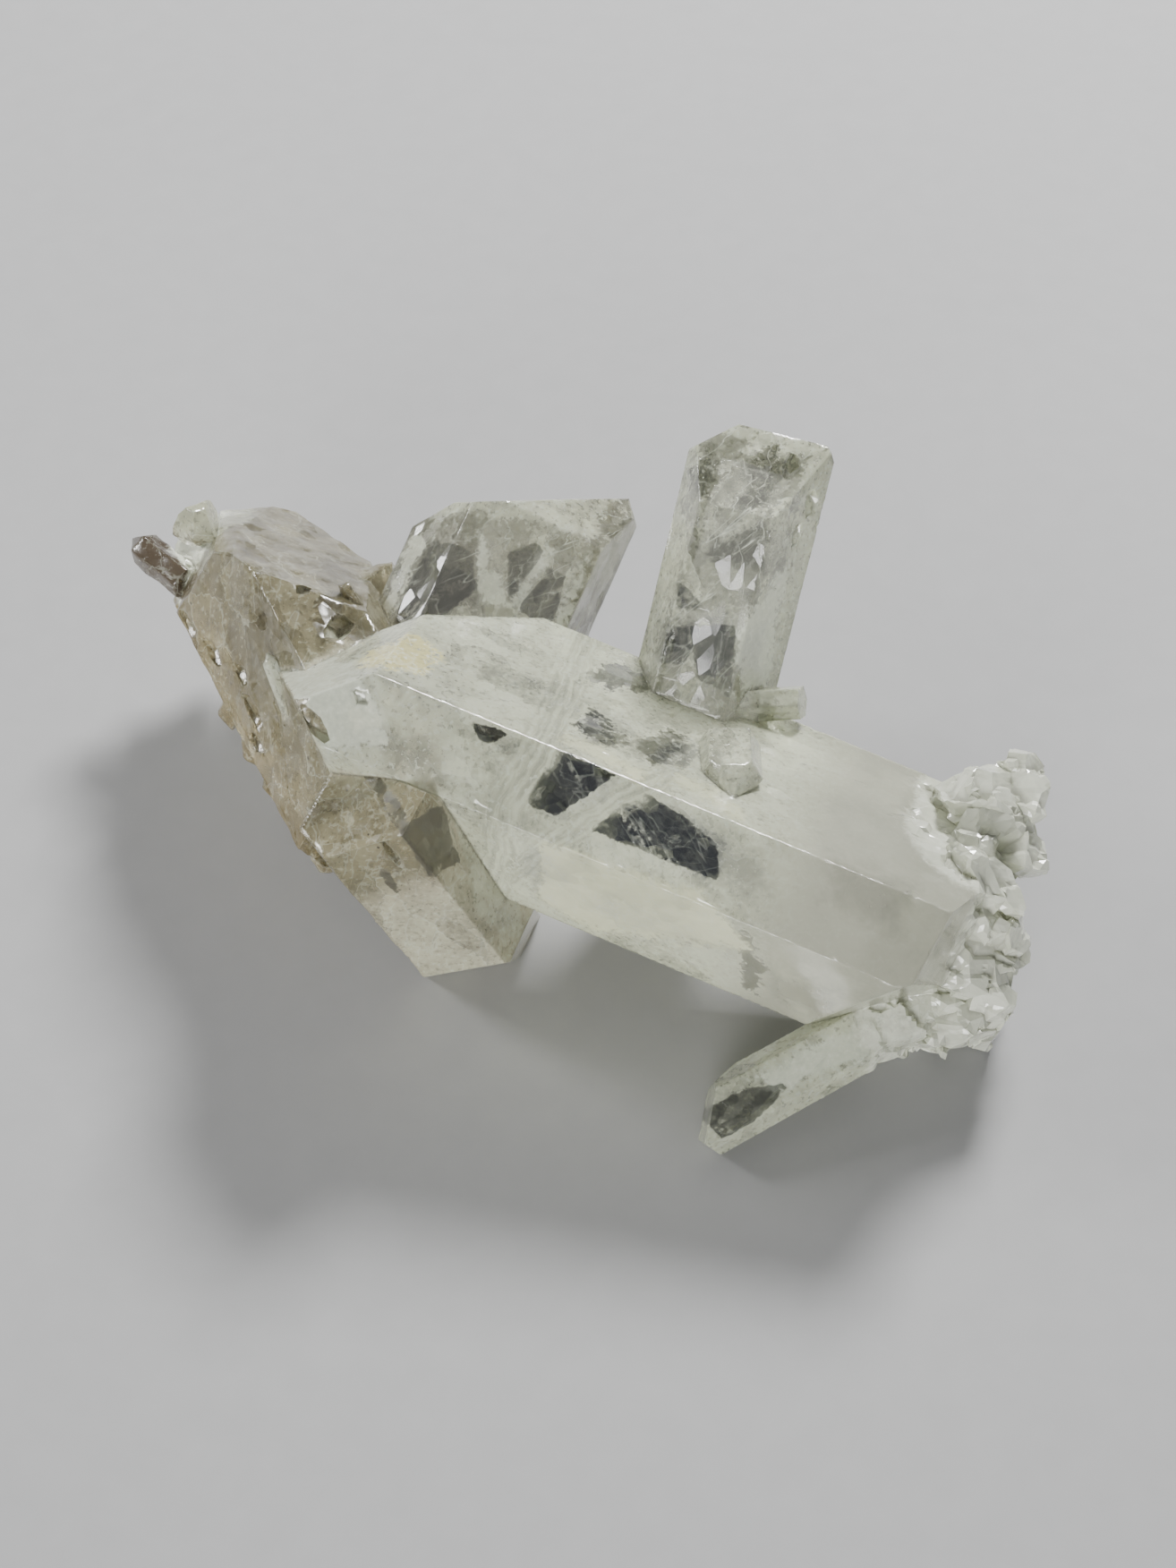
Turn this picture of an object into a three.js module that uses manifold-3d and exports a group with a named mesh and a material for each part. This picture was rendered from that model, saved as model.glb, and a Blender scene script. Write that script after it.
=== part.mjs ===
// A cluster of quartz crystals grown together, in millimetres, +Z up, resting on z = 0.
// Each crystal is a real quartz form: six prism faces round its c-axis, closed at the tip by
// rhombohedral faces and cut where it is broken. Crystals, the broken matrix and small chips
// are joined into one solid.
import * as THREE from "three";
import { ConvexGeometry } from "three/addons/geometries/ConvexGeometry.js";
import { mergeVertices } from "three/addons/utils/BufferGeometryUtils.js";
import Module from "manifold-3d";

const wasm = await Module();
wasm.setup();

// ---- Quartz ---------------------------------------------------------------------------------
const RHOMB_NORMAL = 51.8; // degrees between the c-axis and the normal of a rhombohedral face
const FACE_STEP = 60; // degrees from one prism face to the next
const ABSENT = -99; // a rhombohedral face this far beyond the tip never meets the crystal

// ---- Crystals -------------------------------------------------------------------------------
// tip: where the c-axis leaves the crystal. azimuth and rise: the way the tip points, in degrees.
// roll: turn of the first prism face about the axis from straight up. prism: each prism face's
// distance from the axis. caps: how far before the tip each rhombohedral face crosses the axis.
// length: from the tip to the foot. breaks: broken faces, each with its turn about the axis from
// straight up, its normal's lean from the way the tip points, and its distance from the tip.
const sixAlike = (distance) => Array(6).fill(distance);
const NO_CAPS = sixAlike(ABSENT); // a crystal whose whole tip is broken away
const WHOLE_TIP = sixAlike(0); // six rhombohedral faces that meet in one point

const CRYSTALS = {
  // The big flat-topped crystal lying across the cluster, its foot in the broken matrix.
  main: {
    tip: [-24, -6.5, 20],
    azimuth: 159,
    rise: 10,
    roll: 23,
    length: 58,
    prism: [6.5, 13, 7.5, 8.5, 8.5, 9.5],
    caps: [1, 0.5, 0, -1, -4, -6.5],
    breaks: [
      [243, 127, 36.5],
      [306, 161, 54],
      [30, 128, 39],
      [245, 50, 0],
    ],
  },
  // The stout crystal that leans up and back behind the middle.
  standing: {
    tip: [14, 7.5, 32.5],
    azimuth: 69,
    rise: 50,
    roll: 5,
    length: 30,
    prism: [4.5, 4.5, 5, 3.5, 4.5, 5],
    caps: [1.5, -4, -4, 1, -4, -4],
    breaks: [
      [278, 40, 0.5],
      [120, 10, -0.5],
    ],
  },
  // The short broken crystal between the standing one and the smoky one.
  behind: {
    tip: [-3.5, 12, 20],
    azimuth: 64,
    rise: 26,
    roll: 30,
    length: 20,
    prism: [5, 7, 7, 5, 7.5, 7.5],
    caps: [-3, ABSENT, ABSENT, -3, ABSENT, ABSENT],
    breaks: [
      [302, 56, 3],
      [320, 30, -0.5],
      [95, 53, 6.5],
    ],
  },
  // The brownish crystal that crosses under the main one's tip.
  smoky: {
    tip: [-31.5, 15.5, 17],
    azimuth: 117,
    rise: 8,
    roll: 0,
    length: 35,
    prism: [8.5, 8, 8, 8, 6, 6],
    caps: [3, ABSENT, ABSENT, -3, ABSENT, 3],
    breaks: [
      [290, 61, 1],
      [17, 52, -2],
      [32, 66, -0.5],
    ],
  },
  // The broken prism on which the cluster props itself at the front.
  leg: {
    tip: [-6, -19.5, -1],
    azimuth: 6,
    rise: -67,
    roll: -26,
    length: 24.5,
    prism: [4, 4.5, 5, 6, 4.5, 4.5],
    caps: NO_CAPS,
    breaks: [
      [100, 55, 0],
      [72, 49, 0],
      [31, 59, 0.5],
      [313, 111, 10],
    ],
  },
  // The thin flat crystal that reaches forward along the ground.
  blade: {
    tip: [8, -37.5, 1.5],
    azimuth: -153,
    rise: -11,
    roll: -27,
    length: 23,
    prism: [1.8, 3, 3, 1.8, 1.7, 1.7],
    caps: NO_CAPS,
    breaks: [
      [55, 40, -0.5],
      [230, 28, 0],
      [64, 75, 2],
    ],
  },
  // The broken prism under the smoky crystal that carries the back of the cluster.
  prop: {
    tip: [-27, 13.5, -2],
    azimuth: 128,
    rise: -48,
    roll: 14,
    length: 22,
    prism: [4.5, 5.5, 4.5, 5, 5, 4.5],
    caps: NO_CAPS,
    breaks: [[200, 40, 1.5]],
  },
  // The small dark point at the far end of the smoky crystal.
  darkTip: {
    tip: [-38, 13.5, 13.5],
    azimuth: 136,
    rise: 3,
    roll: 30,
    length: 7,
    prism: sixAlike(1.3),
    caps: WHOLE_TIP,
  },
  // The little bar lying against the foot of the standing crystal.
  block: {
    tip: [16.5, -8, 17],
    azimuth: 2,
    rise: 2,
    roll: 22,
    length: 6,
    prism: sixAlike(1.2),
    caps: NO_CAPS,
    breaks: [[48, 20, 0]],
  },
  // The small stub in front of the bar, sunk into the main crystal.
  wedge: {
    tip: [10.5, -21, 21],
    azimuth: -91,
    rise: 15,
    roll: 0,
    length: 7,
    prism: [1.6, 2.2, 2.2, 1.6, 2, 2],
    caps: WHOLE_TIP,
  },
  // Splinters along the broken edges of the smoky crystal.
  sliverTip: {
    tip: [-24.5, -6, 20.5],
    azimuth: 115,
    rise: 31,
    roll: 0,
    length: 6,
    prism: sixAlike(0.6),
    caps: WHOLE_TIP,
  },
  sliverLow: {
    tip: [-25, -10.5, 12],
    azimuth: 125,
    rise: 7,
    roll: 0,
    length: 9,
    prism: sixAlike(1),
    caps: WHOLE_TIP,
  },
};

// ---- Broken matrix and chips ----------------------------------------------------------------
// size: full length, width and height before the chunk is turned by its azimuth and rise.
// crumbs: how many small lumps stand out of its broken surface.
const ACROSS_FOOT = { azimuth: 80, rise: 40 }; // the way the rock lies round the main foot
const UPRIGHT = { azimuth: 0, rise: 0 };
const CHUNKS = {
  // The rough white rock round the main crystal's foot.
  collarCore: { at: [29, -22, 10], size: [17, 7, 13], ...ACROSS_FOOT, crumbs: 16, seed: 3 },
  collarTop: { at: [30, -15.5, 14], size: [5.5, 8.5, 8], ...ACROSS_FOOT, crumbs: 8, seed: 61 },
  collarSpike: { at: [33, -14, 15], size: [5, 3.5, 4.5], ...ACROSS_FOOT, seed: 5 },
  collarKnob: { at: [32.5, -19.5, 12.5], size: [4, 4.5, 5], ...ACROSS_FOOT, seed: 7 },
  collarSide: { at: [30, -26.5, 7.5], size: [12, 4.5, 8], ...ACROSS_FOOT, crumbs: 8, seed: 11 },
  collarFoot: { at: [28, -28, 4], size: [5.5, 7, 8], ...ACROSS_FOOT, crumbs: 6, seed: 13 },
  collarUnder: { at: [22.5, -28.5, 3.5], size: [4, 12, 6], ...ACROSS_FOOT, crumbs: 5, seed: 17 },
  collarHeel: { at: [28.5, -15.5, 4], size: [9, 9, 9.5], ...UPRIGHT, crumbs: 8, seed: 19 },
  collarBack: { at: [28.5, -12.5, 6.5], size: [8, 8, 8], ...UPRIGHT, crumbs: 8, seed: 67 },
  // Small lumps and chips standing on the crystals.
  ironStain: { at: [-14.5, -7, 21], size: [6, 3.5, 3], azimuth: 165, rise: 10, seed: 23 },
  chip: { at: [-18, -1.5, 21], size: [4, 1.5, 2], azimuth: 125, rise: 35, seed: 71 },
  knob: { at: [-20, -18, 10], size: [1.7, 1.7, 3], azimuth: 60, rise: 40, seed: 29 },
  skinUpper: { at: [-28, -4, 12], size: [2.5, 2.5, 3.5], azimuth: 120, rise: 0, seed: 31 },
  skinLower: { at: [-26, -7.5, 11], size: [2.5, 2.5, 3], azimuth: 120, rise: 0, seed: 37 },
  skinTop: { at: [-31.5, 9.5, 18.5], size: [3.5, 3.5, 4], azimuth: 30, rise: 10, seed: 43 },
  shoulder: { at: [-18, 4, 13.5], size: [9, 7, 9], azimuth: 30, rise: 0, seed: 47 },
  // The rock between the smoky crystal and the prism that carries it.
  matrixLow: { at: [-21, 5, 5.5], size: [14, 9, 9], azimuth: 128, rise: -20, crumbs: 12, seed: 41 },
  matrixMid: { at: [-20.5, 3.5, 9.5], size: [14, 12, 9], azimuth: -30, rise: 8, crumbs: 12, seed: 53 },
  matrixRim: { at: [-30.5, 12, 11.5], size: [8, 8, 9], azimuth: 10, rise: -20, crumbs: 10, seed: 59 },
};

// ---- Pits, notches and hollows --------------------------------------------------------------
// Cut into the crystals' faces, given in the same way as the chunks.
const ALONG_SMOKY = { azimuth: CRYSTALS.smoky.azimuth, rise: CRYSTALS.smoky.rise };
const ALONG_STANDING = { azimuth: CRYSTALS.standing.azimuth, rise: CRYSTALS.standing.rise };
const DOWN_THE_TIP = { azimuth: -38, rise: -36 }; // down the main crystal's broken end
const PITS = {
  smokyTop: { at: [-32, 1.5, 16], size: [3, 1, 1.2], ...ALONG_SMOKY, seed: 101 },
  smokyUpper: { at: [-29.5, -2, 16], size: [3.5, 1.2, 1.2], ...ALONG_SMOKY, seed: 103 },
  smokyMiddle: { at: [-27, -5, 17], size: [2.5, 1, 1], ...ALONG_SMOKY, seed: 107 },
  smokyLower: { at: [-26, -8, 16], size: [4, 1.2, 1.5], ...ALONG_SMOKY, seed: 109 },
  smokyFoot: { at: [-25.5, -10, 14.5], size: [2.5, 1.2, 1], ...ALONG_SMOKY, seed: 113 },
  smokyCavity: { at: [-19, -5, 22], size: [3, 2, 2], azimuth: 60, rise: 0, seed: 127 },
  smokyFace: { at: [-22, -1.5, 22.5], size: [2, 1.5, 1.2], azimuth: 20, rise: 0, seed: 131 },
  etchUpper: { at: [15.5, 4, 30.5], size: [2.5, 1.5, 1], azimuth: 60, rise: 20, seed: 137 },
  etchMiddle: { at: [17, 2, 28.5], size: [2.5, 2, 1.5], ...ALONG_STANDING, seed: 139 },
  etchLower: { at: [16, 0, 27], size: [2, 1.2, 1], ...ALONG_STANDING, seed: 149 },
  tipNotch: { at: [-19.5, -17, 24], size: [4.5, 1.5, 1.2], ...DOWN_THE_TIP, seed: 151 },
  tipHollow: { at: [-16.5, -15.5, 26], size: [2, 1, 1], ...DOWN_THE_TIP, seed: 157 },
  legCrack: { at: [-14, -25.5, 20], size: [4, 1, 0.8], azimuth: 0, rise: -68, seed: 163 },
};

const FRACTURE_FACES = 14; // flat faces on one broken lump
const FRACTURE_DEPTH = 0.32; // how far a fracture face can lie inside the round form, as a share
const CRUMB_SIZE = [0.2, 0.5]; // least and greatest crumb, as a share of the chunk it stands on
const CRUMB_SEAT = 0.78; // where a crumb's middle sits, as a share of the chunk's half size
const GROUND = 400; // side of the block that stands for the ground
const WELD = 1e-4; // corners nearer than this are one corner
const TOUCH = 1e-6; // how far outside a plane a corner may lie and still be on it

const rad = THREE.MathUtils.degToRad;
const vec = (p) => new THREE.Vector3(...p);

// A repeatable run of numbers between 0 and 1, by Lehmer's rule.
const LEHMER_FACTOR = 48271;
const LEHMER_PRIME = 2147483647;
function numbers(seed) {
  let state = (seed * LEHMER_FACTOR) % LEHMER_PRIME;
  return () => {
    state = (state * LEHMER_FACTOR) % LEHMER_PRIME;
    return state / LEHMER_PRIME;
  };
}

// The corners of the convex solid inside a list of planes, each a unit normal and a distance.
function cornersInside(planes) {
  const corners = [];
  for (let i = 0; i < planes.length; i++)
    for (let j = i + 1; j < planes.length; j++)
      for (let k = j + 1; k < planes.length; k++) {
        const [a, b, c] = [planes[i], planes[j], planes[k]];
        const bc = new THREE.Vector3().crossVectors(b.normal, c.normal);
        const ca = new THREE.Vector3().crossVectors(c.normal, a.normal);
        const ab = new THREE.Vector3().crossVectors(a.normal, b.normal);
        const volume = a.normal.dot(bc);
        if (Math.abs(volume) < TOUCH) continue;
        const corner = bc.multiplyScalar(a.distance);
        corner.addScaledVector(ca, b.distance);
        corner.addScaledVector(ab, c.distance);
        corner.divideScalar(volume);
        if (planes.every((p) => p.normal.dot(corner) <= p.distance + TOUCH))
          corners.push(corner);
      }
  return corners;
}

// A three.js geometry as a manifold-3d solid.
function toSolid(geometry) {
  geometry.deleteAttribute("normal");
  geometry.deleteAttribute("uv");
  const merged = mergeVertices(geometry, WELD);
  return new wasm.Manifold(
    new wasm.Mesh({
      numProp: 3,
      vertProperties: merged.attributes.position.array,
      triVerts: new Uint32Array(merged.index.array),
    }),
  );
}

function crystalSolid({ tip, azimuth, rise, roll, prism, caps, length, breaks = [] }) {
  const axis = new THREE.Vector3(
    Math.cos(rad(azimuth)) * Math.cos(rad(rise)),
    Math.sin(rad(azimuth)) * Math.cos(rad(rise)),
    Math.sin(rad(rise)),
  );
  const up = new THREE.Vector3(0, 0, 1).addScaledVector(axis, -axis.z).normalize();
  const side = new THREE.Vector3().crossVectors(axis, up);
  const plane = (turn, lean, distance) => {
    const normal = axis.clone().multiplyScalar(Math.cos(rad(lean)));
    normal.addScaledVector(up, Math.cos(rad(turn)) * Math.sin(rad(lean)));
    normal.addScaledVector(side, Math.sin(rad(turn)) * Math.sin(rad(lean)));
    return { normal, distance };
  };
  const planes = [plane(0, 180, length)];
  prism.forEach((distance, k) => {
    planes.push(plane(roll + FACE_STEP * k, 90, distance));
    const before = caps[k] * Math.cos(rad(RHOMB_NORMAL));
    planes.push(plane(roll + FACE_STEP * k, RHOMB_NORMAL, -before));
  });
  breaks.forEach((face) => planes.push(plane(...face)));
  return toSolid(new ConvexGeometry(cornersInside(planes).map((p) => p.add(vec(tip)))));
}

// Directions spread evenly over a sphere, each turned a little by chance.
function spread(count, next) {
  const goldenAngle = Math.PI * (3 - Math.sqrt(5));
  return Array.from({ length: count }, (_, k) => {
    const height = 1 - (2 * k + 1) / count;
    const turn = k * goldenAngle + next();
    const reach = Math.sqrt(1 - height * height);
    return new THREE.Vector3(Math.cos(turn) * reach, Math.sin(turn) * reach, height);
  });
}

// One lump with flat fracture faces, its half sizes along its own axes.
function lump(middle, half, turned, next) {
  const planes = spread(FRACTURE_FACES, next).map((normal) => ({
    normal,
    distance: 1 - FRACTURE_DEPTH * next(),
  }));
  const corners = cornersInside(planes).map((p) => p.multiply(half).applyEuler(turned));
  return toSolid(new ConvexGeometry(corners.map((p) => p.add(middle))));
}

function chunkSolid({ at, size, azimuth, rise, seed, crumbs = 0 }) {
  const next = numbers(seed);
  const turned = new THREE.Euler(0, rad(-rise), rad(azimuth), "ZYX");
  const half = vec(size).multiplyScalar(0.5);
  const core = lump(vec(at), half, turned, next);
  return spread(crumbs, next).reduce((rock, out) => {
    const seat = out.multiply(half).multiplyScalar(CRUMB_SEAT).applyEuler(turned).add(vec(at));
    const tumble = new THREE.Euler(next() * Math.PI, next() * Math.PI, next() * Math.PI);
    const share = THREE.MathUtils.lerp(...CRUMB_SIZE, next());
    return rock.add(lump(seat, half.clone().multiplyScalar(share), tumble, next));
  }, core);
}

const grown = [
  ...Object.values(CRYSTALS).map(crystalSolid),
  ...Object.values(CHUNKS).map(chunkSolid),
];
// Where the cluster touches the ground its lowest corners are worn to small flats.
const ground = new THREE.BoxGeometry(GROUND, GROUND, GROUND).translate(0, 0, -GROUND / 2);
const hollows = [...Object.values(PITS).map(chunkSolid), toSolid(ground)];
const hollowed = hollows.reduce(
  (solid, hollow) => solid.subtract(hollow),
  grown.reduce((all, solid) => all.add(solid)),
);
// Gaps sealed in between crumbs are rock too, so only the outer body is kept.
const bodies = hollowed.decompose();
const clusterSolid = bodies.reduce((a, b) => (a.volume() > b.volume() ? a : b));

// A manifold-3d solid as a three.js geometry.
function toGeometry(solid) {
  const mesh = solid.getMesh();
  const geometry = new THREE.BufferGeometry();
  geometry.setAttribute("position", new THREE.BufferAttribute(mesh.vertProperties, 3));
  geometry.setIndex(new THREE.BufferAttribute(mesh.triVerts, 1));
  return geometry;
}

// The origin is the middle of the cluster's underside.
const geometry = toGeometry(clusterSolid);
geometry.computeBoundingBox();
const middle = geometry.boundingBox.getCenter(new THREE.Vector3());
geometry.translate(-middle.x, -middle.y, -geometry.boundingBox.min.z);

const cluster = new THREE.Mesh(
  geometry,
  new THREE.MeshStandardMaterial({
    color: 0xd9d8d2,
    roughness: 0.15,
    metalness: 0,
    flatShading: true,
  }),
);
cluster.name = "quartz_cluster";
const part = new THREE.Group();
part.add(cluster);
export default part;
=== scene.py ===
"""Looks of the quartz cluster: one refined crystal skin, its quartz, a studio and a camera."""
import math
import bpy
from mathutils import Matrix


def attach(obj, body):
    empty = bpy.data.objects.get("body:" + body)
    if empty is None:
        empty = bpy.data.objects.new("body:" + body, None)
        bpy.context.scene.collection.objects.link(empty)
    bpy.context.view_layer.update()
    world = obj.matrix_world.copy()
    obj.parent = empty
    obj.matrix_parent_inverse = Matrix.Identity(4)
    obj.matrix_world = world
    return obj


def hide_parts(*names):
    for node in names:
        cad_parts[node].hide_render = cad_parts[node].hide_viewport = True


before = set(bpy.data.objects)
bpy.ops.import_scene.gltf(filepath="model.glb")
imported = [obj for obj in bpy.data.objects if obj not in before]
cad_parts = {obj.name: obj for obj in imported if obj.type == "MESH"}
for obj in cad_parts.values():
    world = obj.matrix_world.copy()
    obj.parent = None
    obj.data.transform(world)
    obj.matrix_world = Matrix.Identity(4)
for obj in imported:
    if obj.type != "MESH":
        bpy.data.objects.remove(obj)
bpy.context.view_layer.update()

from types import SimpleNamespace

import bmesh
import bpy
import numpy as np
from mathutils import Vector, noise

MM = 0.001
NODE = "quartz_cluster"
BODY = "root"

# ---- Where the crystals lie ------------------------------------------------------------------
# All in millimetres, measured before the cluster is centred on its box; MIDDLE is that box's
# middle. tip: end of the c-axis. azimuth, rise: the way the tip points. radius: rough half width.
# taper: how far from the tip a pointed crystal has its full width.
MIDDLE = (-1.529, -10.143, 0.0)
CRYSTALS = {
    "main": dict(tip=(-24, -6.5, 20), azimuth=159, rise=10, length=58, radius=9.5, taper=12),
    "standing": dict(tip=(14, 7.5, 32.5), azimuth=69, rise=50, length=24, radius=5),
    "behind": dict(tip=(-3.5, 12, 20), azimuth=64, rise=26, length=18, radius=7),
    "smoky": dict(tip=(-31.5, 15.5, 17), azimuth=117, rise=8, length=35, radius=8),
    "leg": dict(tip=(-6, -19.5, -1), azimuth=6, rise=-67, length=21, radius=5),
    "blade": dict(tip=(8, -37.5, 1.5), azimuth=-153, rise=-11, length=22, radius=2.8),
    "prop": dict(tip=(-27, 13.5, -2), azimuth=128, rise=-48, length=18, radius=5),
    "dark_tip": dict(tip=(-38, 13.5, 13.5), azimuth=136, rise=3, length=6, radius=2.4),
    "block": dict(tip=(16.5, -8, 17), azimuth=2, rise=2, length=6, radius=1.3),
    "wedge": dict(tip=(10.5, -21, 21), azimuth=-91, rise=15, length=6, radius=2.2),
}
# Rough rock: middle and reach of each broken place.
ROCK = [
    ((29.5, -22, 11), 8.0), ((30, -15.5, 14), 5.0), ((30, -26.5, 7.5), 6.0),
    ((28, -28, 4), 4.5), ((22.5, -28.5, 3.5), 4.5), ((28.5, -14.5, 5), 6.5),
    ((-21, 5, 5.5), 6.5), ((-30.5, 12, 11.5), 4.6),
]
ROCK_ENDS = 1.15  # in reaches from the middle
ROCK_FADES_OVER = 0.3

# ---- Camera ----------------------------------------------------------------------------------
VIEW_AZIMUTH = -90.0
VIEW_RISE = 50.0
VIEW_DISTANCE = 200.0  # mm
VIEW_TARGET = (0.0, -12.0, 12.0)  # in the crystals' own millimetres
CLIP_START = 5 * MM
LENS = 59.3
SENSOR = 36.0


def placed(p):
    """A point of the crystals' own millimetres in the frame's metres."""
    return Vector((a - m) * MM for a, m in zip(p, MIDDLE))


def direction(azimuth, rise):
    a, r = math.radians(azimuth), math.radians(rise)
    return Vector((math.cos(a) * math.cos(r), math.sin(a) * math.cos(r), math.sin(r)))


TO_CAMERA = direction(VIEW_AZIMUTH, VIEW_RISE)


# ---- The refined skin ------------------------------------------------------------------------
# Lengths here are in metres, as the mesh is, where MM stands beside them.
RIM_EDGE = 0.40 * MM  # longest edge beside a sharp edge of a crystal
ROCK_EDGE = 0.60 * MM
FACE_EDGE = 0.85 * MM
SHARP = math.radians(14)
FLAT = math.radians(0.3)  # triangles this close in angle are one face
WELD = 0.001 * MM
ROCK_FROM = 0.4  # share of rock from which a place is split and shaded as rock
SPLIT_ROUNDS = 9  # at most
GROUND_NEAR = 0.02  # mm above the ground within which nothing is moved
SHADED_SHARP = math.radians(22)  # edges at least this sharp are shaded as edges


def welded_copy(node):
    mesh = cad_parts[node].data.copy()
    bm = bmesh.new()
    bm.from_mesh(mesh)
    bmesh.ops.remove_doubles(bm, verts=bm.verts, dist=WELD)
    bmesh.ops.dissolve_limit(bm, angle_limit=FLAT, verts=bm.verts, edges=bm.edges)
    facet = bm.faces.layers.int.new("facet")
    for number, face in enumerate(bm.faces):
        face[facet] = number
    bmesh.ops.triangulate(bm, faces=bm.faces)
    return bm


def rock_share(p):
    """1 in the rough rock, 0 on the crystals, for points in the crystals' millimetres."""
    share = np.zeros(len(p))
    for middle, reach in ROCK:
        d = np.linalg.norm(p - np.array(middle), axis=1) / reach
        share = np.maximum(share, np.clip((ROCK_ENDS - d) / ROCK_FADES_OVER, 0, 1))
    return share


def own_mm(co):
    return co / MM + np.array(MIDDLE)


def tag_sharp(bm):
    for v in bm.verts:
        v.tag = False
    for e in bm.edges:
        if e.calc_face_angle(0.0) > SHARP:
            e.verts[0].tag = e.verts[1].tag = True


def split_long_edges(bm):
    for _ in range(SPLIT_ROUNDS):
        tag_sharp(bm)
        co = own_mm(np.array([e.verts[0].co + e.verts[1].co for e in bm.edges]) / 2)
        rim = np.array([e.verts[0].tag or e.verts[1].tag for e in bm.edges])
        rock = rock_share(co) > ROCK_FROM
        limit = np.where(rock, ROCK_EDGE, np.where(rim, RIM_EDGE, FACE_EDGE))
        long = [e for e, lim in zip(bm.edges, limit) if e.calc_length() > lim]
        if not long:
            break
        bmesh.ops.subdivide_edges(bm, edges=long, cuts=1)
        bmesh.ops.triangulate(bm, faces=[f for f in bm.faces if len(f.verts) > 3])


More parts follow.
